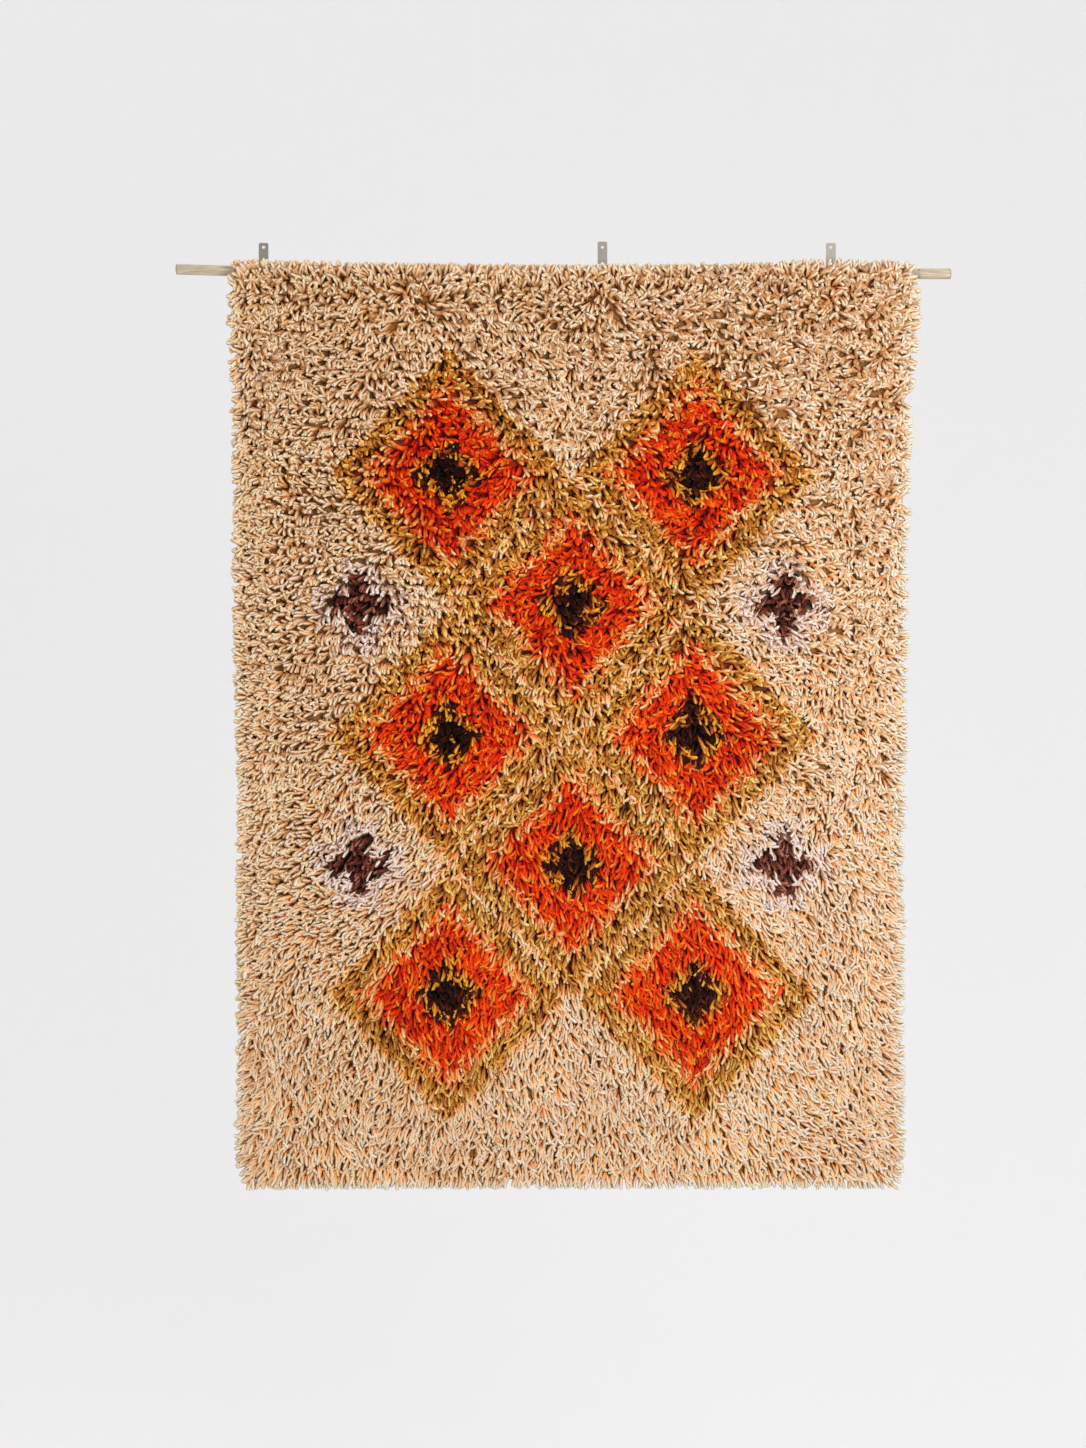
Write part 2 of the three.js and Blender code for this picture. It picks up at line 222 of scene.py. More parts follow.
FLATNESS = 0.62
LOW_FLATNESS = 0.26  # what is added lower down
LEFT_FLATNESS = -0.24  # what is added at the left middle
TUFTS = (0.18, 0.045, 5)  # strength, size and seed of the noise in the flatness
FLATNESS_SPREAD = 0.13
RISING_FLATNESS = 0.8

# How long the ends are, in millimetres
LENGTH = 37
LOW_LENGTH = 3  # what is added lower down
LEFT_LENGTH = -3  # what is added at the left middle
LENGTH_SPREAD = 3.5
LENGTH_LIMITS = (18, 47)
REACH_SPREAD = 2.0  # of the ends that just reach an edge of the pile
BOTTOM_REACH = (0.045, 0.80)  # within how many metres they do, and how much of their length counts
SIDE_REACH = (0.032, 0.66)
TOP_REACH = (0.040, 0.78)

# The design: a lattice of stepped, nested lozenges with crosses in the notches at its sides
DESIGN_X = -64 * MM
DESIGN_Z = -1000 * MM
LOZENGE_WIDTH = 255 * MM  # half of it
LOZENGE_HEIGHT = 268 * MM  # half of it
LOZENGES = [(-1, -2), (1, -2), (0, -1), (-1, 0), (1, 0), (0, 1), (-1, 2), (1, 2)]
CROSSES = [(-1.72, -1), (1.72, -1), (-1.72, 1), (1.72, 1)]
CROSS_ARM = 94 * MM
CROSS_WIDTH = 43 * MM
HEART_ARM = 60 * MM
HEART_WIDTH = 18 * MM

# Yarns: shares of each colour in a zone of the design, as sRGB from 0 to 255
ZONES = ["core", "gold", "red", "peach", "olive", "line", "field", "white", "brown"]
ZONE_ENDS = [0.17, 0.30, 0.61, 0.75, 0.955, 1.0]  # of core, gold, red, peach, olive and line
YARNS = {
    "core": [(0.78, (40, 16, 8)), (0.18, (72, 32, 14)), (0.04, (200, 132, 44))],
    "gold": [(0.44, (216, 146, 44)), (0.34, (56, 24, 12)), (0.22, (156, 84, 28))],
    "red": [(0.50, (232, 70, 10)), (0.26, (190, 44, 8)), (0.24, (246, 122, 34))],
    "peach": [(0.42, (240, 150, 78)), (0.30, (244, 188, 122)), (0.28, (232, 96, 28))],
    "olive": [(0.46, (198, 142, 60)), (0.30, (164, 108, 42)), (0.24, (230, 184, 106))],
    "line": [(0.60, (246, 200, 142)), (0.40, (240, 176, 108))],
    "field": [(0.50, (236, 202, 156)), (0.30, (242, 214, 174)), (0.20, (226, 186, 136))],
    "white": [(0.65, (230, 212, 192)), (0.35, (216, 188, 164))],
    "brown": [(0.45, (104, 58, 44)), (0.30, (66, 34, 26)), (0.25, (142, 98, 80))],
}
LINEN = (196, 172, 138)
STITCH_YARN = (226, 206, 172)
COMMONEST = 0.2  # a chance that picks the first yarn of a zone
ZONE_BLEND = 4 * MM  # how far the yarns stray into the zones beside theirs
SHADES = (0.07, 0.7, 1.3)  # spread, least and most
PATCHES = (0.10, 0.11, 6)  # strength, size and seed of the noise in the dye

# How the yarns look: first at the upper left, then at the lower right, where the painted shade is lighter
# and the tips paler, as painted light from that side
PAINTED_LIGHT_LEFT = -0.77
PAINTED_LIGHT_WIDTH = 1.42
PAINTED_LIGHT_HEIGHT = 1.94
PAINTED_LIGHT_SPAN = (0.05, 0.95)
DEEP_SHADE_POWER = (3.0, 2.4)  # deep in the pile the yarns are painted darker and fuller in colour: painted shade
DEEP_SHADE_GLOW = (1.0, 1.7)
TONE_SPAN = (0.1, 0.95)  # along an end: where its painted deep shade stops, and where its tip's lighter tone starts
FLANK_SHADE = (np.array([0.43, 0.18, 0.03]), np.array([0.95, 0.66, 0.42]))  # what is left of each channel on the inner sides: painted shade
TIP_POWER = (1.25, 1.0)  # above 1 the tips are fuller in colour
TIP_HIGHLIGHT = (np.array([1.75, 1.45, 1.75]), np.array([2.40, 2.30, 2.90]))  # the tips are painted pale: painted highlight
TIP_GLOW = (0.86, 0.65)
FLUFF = (1.20, 1.0)  # how wide the ends are
LIT_SPAN = (0.014, 0.044)  # from an edge: where light gets in all round, and where it stops
LIT_DEPTHS = 0.55  # how much the deep tones give way to the tips' there
LIT_FLANKS = 0.75  # how much the inner sides' tones give way there
BRIGHTEST = 0.93
# The front of the ground cloth is painted darker and fuller in colour: painted shade between the knots
GROUND_POWER = 2.3
GROUND_GLOW = 0.8
GROUND_FACING = -0.2  # a normal's y, below which a face is the cloth's front

# The camera, at the height of the picture's middle and square on to the hanging
IMAGE_HEIGHT = 1448
PIXEL = 2.06 * MM  # at the front of the pile
PILE_FRONT_Y = -58 * MM
CAMERA_X = -123.8 * MM
CAMERA_Z = -977.2 * MM
CAMERA_DISTANCE = 5.0
SENSOR = 36.0
CLIP_END = 60

# The studio
FLOOR_Z = -3.4
FLOOR_RADIUS = 3.0
FLOOR_SIDES = 64
RIM_RADIUS = 8.0
RIM_HEIGHT = 9.0
RIM_STEPS = 12
WORLD_COLOUR = (1.0, 0.985, 0.98, 1)
WORLD_STRENGTH = 1.0
KEY_PLACE = (1.2, -3.0, -0.6)
KEY_TARGET = (-0.06, 0, -0.95)
KEY_SIZE = 1.3
KEY_POWER = 64
SUN_STRENGTH = 0.15
SUN_WIDTH = 60.0  # degrees
SUN_DIRECTION = (0, 0.3, 1)  # where it shines from

# The noise that several sub-parts share
NOISE_CELLS = 160
NOISE_ORIGIN = (-1.0, -2.1)  # x and z, beyond all pieces

ground_back = ROD_Y - HOOK_INNER_RADIUS - STRIP_THICKNESS - CLOTH_GAP
ground_front = ground_back - GROUND
pocket_radius = ROD_RADIUS + SEAT_GAP


# Small helpers

def mix(a, b, share):
    return a + (b - a) * share


def smoothstep(value, start, end):
    share = np.clip((value - start) / (end - start), 0, 1)
    return share * share * (3 - 2 * share)


def linear(colour):
    """An sRGB colour from 0 to 255, as linear light from 0 to 1."""
    share = np.asarray(colour, float) / 255
    return np.where(share <= 0.04045, share / 12.92, ((share + 0.055) / 1.055) ** 2.4)


def soft_noise(x, z, size, seed):
    """Smooth chance from -1 to 1 that changes over about size."""
    cells = np.random.default_rng(seed).uniform(-1, 1, (NOISE_CELLS, NOISE_CELLS))
    u = (x - NOISE_ORIGIN[0]) / size
    v = (z - NOISE_ORIGIN[1]) / size
    column = np.floor(u).astype(int)
    row = np.floor(v).astype(int)
    along_u = smoothstep(u - column, 0, 1)
    along_v = smoothstep(v - row, 0, 1)

    def cell(right, up):
        return cells[(row + up) % NOISE_CELLS, (column + right) % NOISE_CELLS]

    below = mix(cell(0, 0), cell(1, 0), along_u)
    above = mix(cell(0, 1), cell(1, 1), along_u)
    return mix(below, above, along_v)


def mesh_object(name, vertices, faces, material, colours=None, maps=None):
    """A smooth object from arrays. All faces have as many corners, and maps are UVs for each corner."""
    mesh = bpy.data.meshes.new(name)
    mesh.vertices.add(len(vertices))
    mesh.vertices.foreach_set("co", np.asarray(vertices, np.float32).ravel())
    mesh.loops.add(faces.size)
    mesh.loops.foreach_set("vertex_index", np.asarray(faces, np.int32).ravel())
    mesh.polygons.add(len(faces))
    starts = np.arange(0, faces.size, faces.shape[1], dtype=np.int32)
    mesh.polygons.foreach_set("loop_start", starts)
    mesh.update(calc_edges=True)
    mesh.shade_smooth()
    for map_name, corners in (maps or {}).items():
        layer = mesh.uv_layers.new(name=map_name)
        layer.uv.foreach_set("vector", np.asarray(corners, np.float32).ravel())
    if colours is not None:
        paint(mesh, colours)
    obj = bpy.data.objects.new(name, mesh)
    bpy.context.scene.collection.objects.link(obj)
    obj.data.materials.append(material)
    return obj


def paint(mesh, colours):
    """Keeps a linear colour for each vertex, as the attribute that the materials read."""
    attribute = mesh.color_attributes.new("yarn", "FLOAT_COLOR", "POINT")
    opaque = np.ones((len(colours), 4), np.float32)
    opaque[:, :3] = colours
    attribute.data.foreach_set("color", opaque.ravel())


def apply_modifiers(obj):
    """Makes the modifiers' result the object's own mesh."""
    bpy.context.view_layer.update()
    depsgraph = bpy.context.evaluated_depsgraph_get()
    mesh = bpy.data.meshes.new_from_object(obj.evaluated_get(depsgraph))
    obj.modifiers.clear()
    obj.data = mesh


def grid_faces(rows, columns, closed=False):
    """Quads between rows of vertices; closed joins the last column to the first."""
    row, column = np.mgrid[0:rows - 1, 0:columns if closed else columns - 1]
    beside = (column + 1) % columns
    corners = [row * columns + column, row * columns + beside]
    corners += [(row + 1) * columns + beside, (row + 1) * columns + column]
    return np.stack(corners, -1).reshape(-1, 4)


def show(piece, slot, *nodes):
    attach(piece, "root")
    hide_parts(*nodes)


# Shapes that several pieces share

def rod_z(x):
    return ROD_Z + ROD_LIFT * np.maximum(0, x / ROD_LEFT) ** 3


def left_edge(z):
    return np.interp(-z, -SIDE_EDGES[:, 0], SIDE_EDGES[:, 1])


def right_edge(z):
    return np.interp(-z, -SIDE_EDGES[:, 0], SIDE_EDGES[:, 2])


def top_edge(x):
    return np.interp(x, TOP_EDGE[:, 0], TOP_EDGE[:, 1])


def to_side_edge(x, z):
    return np.minimum(x - left_edge(z), right_edge(z) - x)


def to_edge(x, z):
    """The distance from each point to the nearest edge of the pile."""
    upright = np.minimum(z - SIDE_EDGES[-1, 0], top_edge(x) - z)
    return np.minimum(to_side_edge(x, z), upright)


def sway(x, z):
    """How far the whole cloth swings off its plane as it hangs."""
    free = smoothstep(-z, *SWAY_FREE)
    return SWAY * free * np.sin(x / SWAY_ACROSS + z / SWAY_SLANT) * np.cos(z / SWAY_UP)


def zone_at(x, z):
    """The zone of the design at each point, as an index in ZONES."""
    u = (x - DESIGN_X) / LOZENGE_WIDTH
    v = (z - DESIGN_Z) / LOZENGE_HEIGHT
    reach = np.full(np.shape(x), np.inf)
    for across, up in LOZENGES:
        reach = np.minimum(reach, np.abs(u - across) + np.abs(v - up))
    zone = np.searchsorted(ZONE_ENDS, reach)
    for across, up in CROSSES:
        dx = np.abs(x - DESIGN_X - across * LOZENGE_WIDTH)
        dz = np.abs(z - DESIGN_Z - up * LOZENGE_HEIGHT)
        longer = np.maximum(dx, dz)
        shorter = np.minimum(dx, dz)
        cross = (longer < CROSS_ARM) & (shorter < CROSS_WIDTH)
        heart = (longer < HEART_ARM) & (shorter < HEART_WIDTH)
        zone = np.where(cross, ZONES.index("white"), zone)
        zone = np.where(heart, ZONES.index("brown"), zone)
    return zone


def yarn_colours(zones, chance):
    """A yarn's linear colour for each zone and each chance from 0 to 1."""
    colours = np.zeros((len(zones), 3))
    for index, name in enumerate(ZONES):
        shares = np.cumsum([share for share, _ in YARNS[name]])
        palette = np.array([linear(colour) for _, colour in YARNS[name]])
        here = zones == index
        pick = np.minimum(np.searchsorted(shares, chance[here]), len(palette) - 1)
        colours[here] = palette[pick]
    return colours


def painted_light_share(x, z):
    """How far each point is towards the lower right, from 0 to 1, where the yarns get painted light."""
    return smoothstep(0.5 * (x - PAINTED_LIGHT_LEFT) / PAINTED_LIGHT_WIDTH - 0.5 * z / PAINTED_LIGHT_HEIGHT, *PAINTED_LIGHT_SPAN)


# Materials

def new_material(name, **sockets):
    """A material and its node tree's parts. The sockets are the shader's own constants."""
    material = bpy.data.materials.new(name)
    material.use_nodes = True
    nodes = material.node_tree.nodes
    shader = nodes["Principled BSDF"]
    for socket, value in sockets.items():
        shader.inputs[socket.replace("_", " ")].default_value = value
    return material, nodes, material.node_tree.links, shader


def add_relief(nodes, links, shader, height, strength, depth):
    """Fine relief in a material, which changes no shape."""
    bump = nodes.new("ShaderNodeBump")
    bump.inputs["Strength"].default_value = strength
    bump.inputs["Distance"].default_value = depth
    links.new(height, bump.inputs["Height"])
    links.new(bump.outputs["Normal"], shader.inputs["Normal"])


def add_ramp(nodes, links, source, *stops):
    """Colours for a node's output. A stop is a position and an sRGB colour."""
    ramp = nodes.new("ShaderNodeValToRGB")
    for element, (position, colour) in zip(ramp.color_ramp.elements, stops):
        element.position = position
        element.color = (*linear(colour), 1)
    links.new(source, ramp.inputs["Fac"])
    return ramp.outputs["Color"]


def add_product(nodes, links, first, second, share=1.0):
    """The first colour, multiplied by the second as far as the share says."""
    product = nodes.new("ShaderNodeMix")
    product.data_type = "RGBA"
    product.blend_type = "MULTIPLY"
    product.inputs["Factor"].default_value = share
    links.new(first, product.inputs["A"])
    links.new(second, product.inputs["B"])
    return product.outputs["Result"]


def add_noise(nodes, links, place, stretch, scale, detail, roughness=0.5):
    """Noise that is stretched along a piece."""
    along = nodes.new("ShaderNodeMapping")
    along.inputs["Scale"].default_value = stretch
    links.new(place, along.inputs["Vector"])
    noise = nodes.new("ShaderNodeTexNoise")
    noise.inputs["Scale"].default_value = scale
    noise.inputs["Detail"].default_value = detail
    noise.inputs["Roughness"].default_value = roughness
    links.new(along.outputs["Vector"], noise.inputs["Vector"])
    return noise.outputs["Fac"]


def make_pile_material():
    """Plied wool: the colour attribute, which holds the yarn's colour with painted shade and painted
    highlights, with the twist as a fine relief.
    """
    material, nodes, links, shader = new_material(
        "pile_wool", Roughness=0.92, Specular_IOR_Level=0.08, Sheen_Weight=0.02, Sheen_Roughness=0.5)
    yarn = nodes.new("ShaderNodeAttribute")
    yarn.attribute_name = "yarn"
    links.new(yarn.outputs["Color"], shader.inputs["Base Color"])
    place = nodes.new("ShaderNodeUVMap")
    place.uv_map = "Strand"
    twist = nodes.new("ShaderNodeTexWave")
    twist.bands_direction = "DIAGONAL"
    # Such bands are 2 pi / (10 scale) apart, and there is one for each ply.
    twist.inputs["Scale"].default_value = YARN_PLIES * 2 * math.pi / 10
    twist.inputs["Distortion"].default_value = 0.5
    links.new(place.outputs["UV"], twist.inputs["Vector"])
    add_relief(nodes, links, shader, twist.outputs["Fac"], 0.5, 0.8 * MM)
    return material


def make_ground_material():
    """Plain-woven ground cloth, painted by its attribute and crossed by threads."""
    material, nodes, links, shader = new_material(
        "ground_cloth", Roughness=0.95, Sheen_Weight=0.15)
    yarn = nodes.new("ShaderNodeAttribute")
    yarn.attribute_name = "yarn"
    place = nodes.new("ShaderNodeTexCoord")
    weave = nodes.new("ShaderNodeMath")
    weave.operation = "MULTIPLY"
    for number, (direction, pitch) in enumerate(THREADS):
        wave = nodes.new("ShaderNodeTexWave")
        wave.bands_direction = direction
        # Such bands are pi / (10 scale) apart.
        wave.inputs["Scale"].default_value = math.pi / (10 * pitch)
        wave.inputs["Distortion"].default_value = 0.4
        links.new(place.outputs["Object"], wave.inputs["Vector"])
        links.new(wave.outputs["Fac"], weave.inputs[number])
    woven = add_product(nodes, links, yarn.outputs["Color"], weave.outputs["Value"], 0.45)
    links.new(woven, shader.inputs["Base Color"])
    add_relief(nodes, links, shader, weave.outputs["Value"], 0.6, 0.8 * MM)
    return material


def add_darker_ends(nodes, links, place):
    """A factor that darkens the rod's colour at both of its ends."""
    axis = nodes.new("ShaderNodeSeparateXYZ")
    links.new(place, axis.inputs["Vector"])
    from_middle = nodes.new("ShaderNodeMath")
    from_middle.operation = "SUBTRACT"
    from_middle.inputs[1].default_value = (ROD_LEFT + ROD_RIGHT) / 2
    links.new(axis.outputs["X"], from_middle.inputs[0])
    distance = nodes.new("ShaderNodeMath")
    distance.operation = "ABSOLUTE"
    links.new(from_middle.outputs["Value"], distance.inputs[0])
    darkening = nodes.new("ShaderNodeMapRange")
    darkening.inputs["From Min"].default_value = (ROD_RIGHT - ROD_LEFT) / 2 - ROD_DARK_ENDS[0]
    darkening.inputs["From Max"].default_value = (ROD_RIGHT - ROD_LEFT) / 2 - ROD_DARK_ENDS[1]
    darkening.inputs["To Min"].default_value = 1.0
    darkening.inputs["To Max"].default_value = 0.42
    links.new(distance.outputs["Value"], darkening.inputs["Value"])
    return darkening.outputs["Result"]


def make_wood_material():
    """Pale weathered wood, with its grain along the rod, small dark knots and darker ends."""
    material, nodes, links, shader = new_material("rod_wood", Roughness=0.62)
    place = nodes.new("ShaderNodeTexCoord").outputs["Object"]
    grain = add_noise(nodes, links, place, (9.0, 160.0, 160.0), 3.0, 6.0, 0.65)
    tone = add_ramp(nodes, links, grain, (0.30, (136, 120, 94)), (0.68, (208, 196, 170)))
    spots = nodes.new("ShaderNodeTexVoronoi")
    spots.inputs["Scale"].default_value = 26.0
    links.new(place, spots.inputs["Vector"])
    spot = spots.outputs["Distance"]
    knot = add_ramp(nodes, links, spot, (0.06, (118, 100, 84)), (0.15, (255, 255, 255)))
    knotted = add_product(nodes, links, tone, knot)
    wood = add_product(nodes, links, knotted, add_darker_ends(nodes, links, place))
    links.new(wood, shader.inputs["Base Color"])
    add_relief(nodes, links, shader, grain, 0.35, 0.4 * MM)
    return material


def make_steel_material():
    """Flat steel strip, dull and lightly brushed along its length."""
    material, nodes, links, shader = new_material("strip_steel", Metallic=0.85)
    place = nodes.new("ShaderNodeTexCoord").outputs["Object"]
    brush = add_noise(nodes, links, place, (900.0, 900.0, 30.0), 1.0, 4.0)
    tone = add_ramp(nodes, links, brush, (0.0, (122, 116, 108)), (1.0, (162, 155, 145)))
    links.new(tone, shader.inputs["Base Color"])
    gloss = nodes.new("ShaderNodeMapRange")
    gloss.inputs["To Min"].default_value = 0.34
    gloss.inputs["To Max"].default_value = 0.52
    links.new(brush, gloss.inputs["Value"])
    links.new(gloss.outputs["Result"], shader.inputs["Roughness"])
    add_relief(nodes, links, shader, brush, 0.15, 0.1 * MM)
    return material


def make_floor_material():
    """Matt, nearly white paint."""
    return new_material(
        "studio_floor", Base_Color=(0.885, 0.885, 0.889, 1), Roughness=1.0, Specular_IOR_Level=0.0)[0]


# The pile

def knots():
    """Where the knots are, as (x, z), row by row from the top. Every second row is half a knot along."""
    row, column = np.mgrid[0:ROWS, 0:KNOTS_IN_ROW]
    rng = np.random.default_rng(SEED)
    z = FIRST_ROW_Z - ROW_PITCH * np.interp(row, *CROWDED_ROWS)
    z += KNOT_STRAY * rng.uniform(-1, 1, row.shape)
    share = (column + 0.25 + 0.5 * (row % 2)) / KNOTS_IN_ROW
    share = np.interp(share, *CROWDED_KNOTS)
    left = left_edge(z) + KNOT_INSET
    right = right_edge(z) - KNOT_INSET
    x = mix(left, right, share) + KNOT_STRAY * rng.uniform(-1, 1, row.shape)
    return x, z


def regions(x, z):
    """How far each point is in the lower part, upper right, left middle and lower right.

    The shares go from 0 to 1, and the bounds are in metres.
    """
    low = smoothstep(-z, 0.15, 1.60)
    right_top = smoothstep(x, -0.1, 0.4) * (1 - low)
    left_middle = smoothstep(-x, 0.1, 0.6) * smoothstep(-z, 0.1, 0.5) * (1 - smoothstep(-z, 1.3, 1.8))
    right_bottom = smoothstep(x, 0.0, 0.45) * smoothstep(-z, 0.5, 1.4)
    return low, right_top, left_middle, right_bottom


def free_heading(x, z):
    """Which way the ends lean where no edge draws them, in radians anticlockwise from +x."""
    low, right_top, left_middle, right_bottom = regions(x, z)
    restless = mix(*CALM, low) + CORNER_WHIRL * right_top
    whirl = sum(angle * soft_noise(x, z, size, seed) for angle, size, seed in WHIRLS)
    return np.radians(DOWNWARD + LEFT_TURN * left_middle + RIGHT_TURN * right_bottom + restless * whirl)


def lay(x, z, rng):
    """How each end lies: its direction in the cloth's plane, its flatness, its length and its curl."""
    low, right_top, left_middle, _ = regions(x, z)
    heading = free_heading(x, z)
    across = np.cos(heading)
    down = -np.sin(heading)

    to_side = to_side_edge(x, z)
    to_bottom = z - SIDE_EDGES[-1, 0]
    to_top = top_edge(x) - z
    near_side = to_side + SIDE_STRAY * rng.normal(size=x.shape)
    outward = rng.uniform(0, 1, x.shape) < 1 - smoothstep(near_side, *SIDE_SPAN)
    nearer_right = right_edge(z) - x < x - left_edge(z)
    across += np.where(outward, np.where(nearer_right, SIDE_PULL, -SIDE_PULL), 0)
    down += BOTTOM_PULL * (1 - smoothstep(to_bottom, *BOTTOM_SPAN))
    chance = rng.uniform(0, 1, x.shape) + CORNER_HANG * (1 - smoothstep(near_side, *CORNER_SPAN))
    rises = chance < 1 - smoothstep(to_top, *TOP_SPAN)
    down = np.where(rises, -TOP_PULL, down)
    angle = np.arctan2(-down, across) + np.radians(mix(*STRAY, low)) * rng.normal(size=x.shape)

    rim = 1 - smoothstep(np.minimum(near_side, to_bottom), *EDGE_SPAN)
    strength, size, seed = TUFTS
    tufts = strength * soft_noise(x, z, size, seed)
    flat = FLATNESS + LOW_FLATNESS * low + LEFT_FLATNESS * left_middle + tufts
    flat = np.maximum(flat, EDGE_FLATNESS * rim) + FLATNESS_SPREAD * rng.normal(size=x.shape)
    parting = 1 - smoothstep(np.abs(to_top - PARTING), *PARTING_SPAN)
    flat = np.where(rises, RISING_FLATNESS, flat) * mix(1, PARTING_FLATNESS, parting)
    widest = np.radians(mix(*CURL, low) + CORNER_CURL * right_top)
    curl = rng.normal(size=x.shape) * widest * mix(1, EDGE_CURL, rim)

    length = LENGTH + LOW_LENGTH * low + LEFT_LENGTH * left_middle
    length += LENGTH_SPREAD * rng.normal(size=x.shape)
    uneven = REACH_SPREAD * rng.normal(size=x.shape)
    for reaches, distance, (within, counts) in [
        (True, to_bottom, BOTTOM_REACH), (outward, to_side, SIDE_REACH), (rises, to_top, TOP_REACH),
    ]:
        length = np.where(reaches & (distance < within), distance / MM / counts + uneven, length)
    return angle, np.clip(flat, 0, 1), np.clip(length, *LENGTH_LIMITS) * MM, curl


def ground_front_y(x, z):
    """The front of the ground cloth, which leans back over the rod at the top."""
    bend = rod_z(x) - POCKET_FALL
    height = rod_z(x) + pocket_radius + GROUND - bend
    share = np.clip((z - bend) / height, 0, ARC_SHARE)
    depth = ROD_Y - ground_front
    return ROD_Y - depth * np.sqrt(1 - share ** 2) + sway(x, z)


def yarn_ends(x, z, rng):
    """The path of each end of yarn, its tangents, both as (ends, points, 3), and its turn at each step."""
    angle, flat, length, curl = lay(x, z, rng)
    root = np.radians(mix(*ROOT_LEAN, flat))
    tip = np.radians(mix(*TIP_LEAN, flat))
    steps = np.arange(YARN_STEPS) / YARN_STEPS + 0.5 / YARN_STEPS
    lean = root[:, None] + (tip - root)[:, None] * steps ** LEAN_POWER
    turn = angle[:, None] + curl[:, None] * (steps - CURL_MIDDLE)
    step = (length / YARN_STEPS)[:, None]
    moves = np.stack([
        step * np.sin(lean) * np.cos(turn),
        -step * np.cos(lean),
        step * np.sin(lean) * np.sin(turn),
    ], -1)
    points = np.concatenate([np.zeros((len(x), 1, 3)), np.cumsum(moves, 1)], 1)
    points += np.stack([x, ground_front_y(x, z) + ROOT_DEPTH, z], -1)[:, None]
    nearest = ground_front - YARN_RADII[2] + sway(points[..., 0], points[..., 2])
    free = np.arange(YARN_STEPS + 1) > YARN_FREE_STEP
    points[..., 1] = np.where(free, np.minimum(points[..., 1], nearest), points[..., 1])

    at = np.append(YARN_RINGS, 1.0) * YARN_STEPS
    before = np.minimum(at.astype(int), YARN_STEPS - 1)
    share = (at - before)[None, :, None]
    path = mix(points[:, before], points[:, before + 1], share)
    tangent = np.gradient(path, axis=1)
    tangent /= np.linalg.norm(tangent, axis=-1, keepdims=True)
    return path, tangent, turn


def yarn_rings(path, tangent, turn, thick):
    """Rings round each path, except at its last point. Their first point faces out."""
    sideways = np.stack([np.sin(turn[:, 0]), np.zeros(len(turn)), -np.cos(turn[:, 0])], -1)
    side = np.cross(tangent, np.cross(sideways[:, None], tangent))
    side /= np.linalg.norm(side, axis=-1, keepdims=True)
    up = np.cross(side, tangent)
    around = np.pi / 2 + 2 * np.pi * np.arange(YARN_SIDES) / YARN_SIDES
    radius = thick[:, None] * YARN_RADII[None]
    spokes = np.cos(around)[:, None] * side[:, :-1, None] + np.sin(around)[:, None] * up[:, :-1, None]
    return path[:, :-1, None] + radius[:, :, None, None] * spokes


def yarn_template():
    """The triangles of one end of yarn, and where each corner is: share round it and share along it."""
    rings = len(YARN_RINGS)
    tip = rings * YARN_SIDES
    faces = []
    places = []
    for ring in range(rings):
        for side in range(YARN_SIDES):
            beside = (side + 1) % YARN_SIDES
            a = ring * YARN_SIDES + side
            b = ring * YARN_SIDES + beside
            left = side / YARN_SIDES
            right = (side + 1) / YARN_SIDES
            low = YARN_RINGS[ring]
            if ring == rings - 1:
                faces.append((a, b, tip))
                places.append(((left, low), (right, low), ((left + right) / 2, 1)))
                continue
            high = YARN_RINGS[ring + 1]
            faces.append((a, b, b + YARN_SIDES))
            places.append(((left, low), (right, low), (right, high)))
            faces.append((a, b + YARN_SIDES, a + YARN_SIDES))
            places.append(((left, low), (right, high), (left, high)))
    for side in range(1, YARN_SIDES - 1):
        faces.append((0, side + 1, side))
        places.append(((0, 0), ((side + 1) / YARN_SIDES, 0), (side / YARN_SIDES, 0)))
    return np.array(faces), np.array(places)


def spread_ends(x, z, rng):
    """Where the ends of each knot rise from the ground, round the knot's own place."""
    around = rng.uniform(0, 2 * math.pi, (len(x), 1)) + 2 * math.pi * np.arange(ENDS) / ENDS
    x = np.repeat(x, ENDS) + END_SPREAD[0] * np.cos(around).ravel()
    z = np.repeat(z, ENDS)
    z += mix(END_SPREAD[1], LOW_SPREAD, smoothstep(-z, *LOW_SPREAD_SPAN)) * np.sin(around).ravel()
    beside = 1 - smoothstep(to_side_edge(x, z), *EDGE_MIX_SPAN)
    return x, z + beside * rng.uniform(-EDGE_MIX, EDGE_MIX, len(z))


def yarn_maps(count, places, rng):
    """UVs of each end's corners, one map with a cell for each end and one for the twist of its plies."""
    strand = places[None] * np.array([1.0, YARN_TWIST]) + rng.uniform(0, 9, (count, 1, 1, 2))
    side = math.ceil(math.sqrt(count))
    cell = np.stack([np.arange(count) % side, np.arange(count) // side], -1)
    margin = 0.05
    bake = (cell[:, None, None] + margin + (1 - 2 * margin) * places[None]) / side
    return {"OFBake": bake.reshape(-1, 2), "Strand": strand.reshape(-1, 2)}


